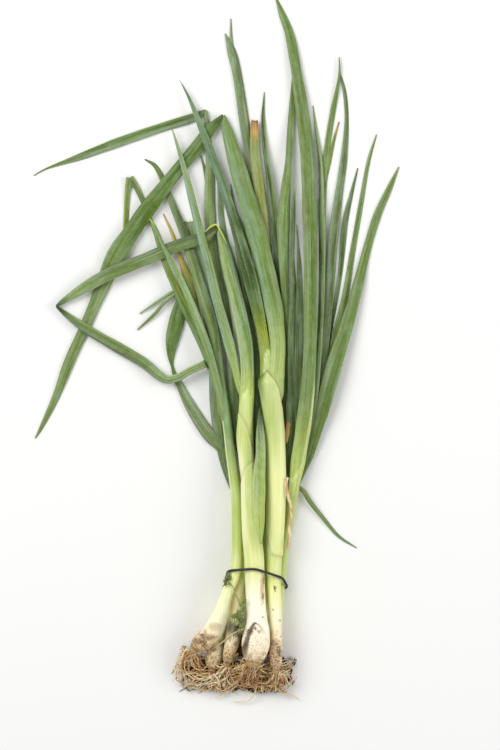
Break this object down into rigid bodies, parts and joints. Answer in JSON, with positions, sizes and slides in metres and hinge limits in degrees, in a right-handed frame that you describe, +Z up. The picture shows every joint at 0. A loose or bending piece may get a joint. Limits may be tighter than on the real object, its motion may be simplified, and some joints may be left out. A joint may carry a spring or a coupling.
{
  "type": "spring onion bunch",
  "caption": "Bunch of spring onions lying down, with pale bulbs, tangled roots and long green leaves, some of them folded, held together by a rubber band.",
  "frame": {"origin": "middle of the bounding box in plan, on the surface that the bunch lies on", "axes": "+Y from the roots to the leaf tips, +Z up from the surface, +X to the right when seen from above with the tips away"},
  "size_m": [0.2937, 0.5699, 0.0381],
  "materials": {
    "shank": "moist, smooth plant skin, white at the bulb and pale green above",
    "leaves": "green leaf with a pale bloom and fine lengthwise veins",
    "roots": "dry fibrous roots with soil",
    "band": "dark rubber",
    "weed": "soft green leaflets",
    "skin": "dry papery onion skin"
  },
  "bodies": {
    "root": {"rear_left_shank": "shank", "rear_left_leaves": "leaves", "rear_middle_shank": "shank", "rear_middle_leaves": "leaves", "rear_right_shank": "shank", "rear_right_leaves": "leaves", "outer_right_shank": "shank", "outer_right_leaves": "leaves", "left_shank": "shank", "left_leaves": "leaves", "right_shank": "shank", "right_leaves": "leaves", "middle_shank": "shank", "middle_leaves": "leaves", "roots": "roots", "rubber_band": "band", "side_leaf": "leaves", "weed_sprig": "weed", "dry_skin": "skin"}
  },
  "joints": []
}
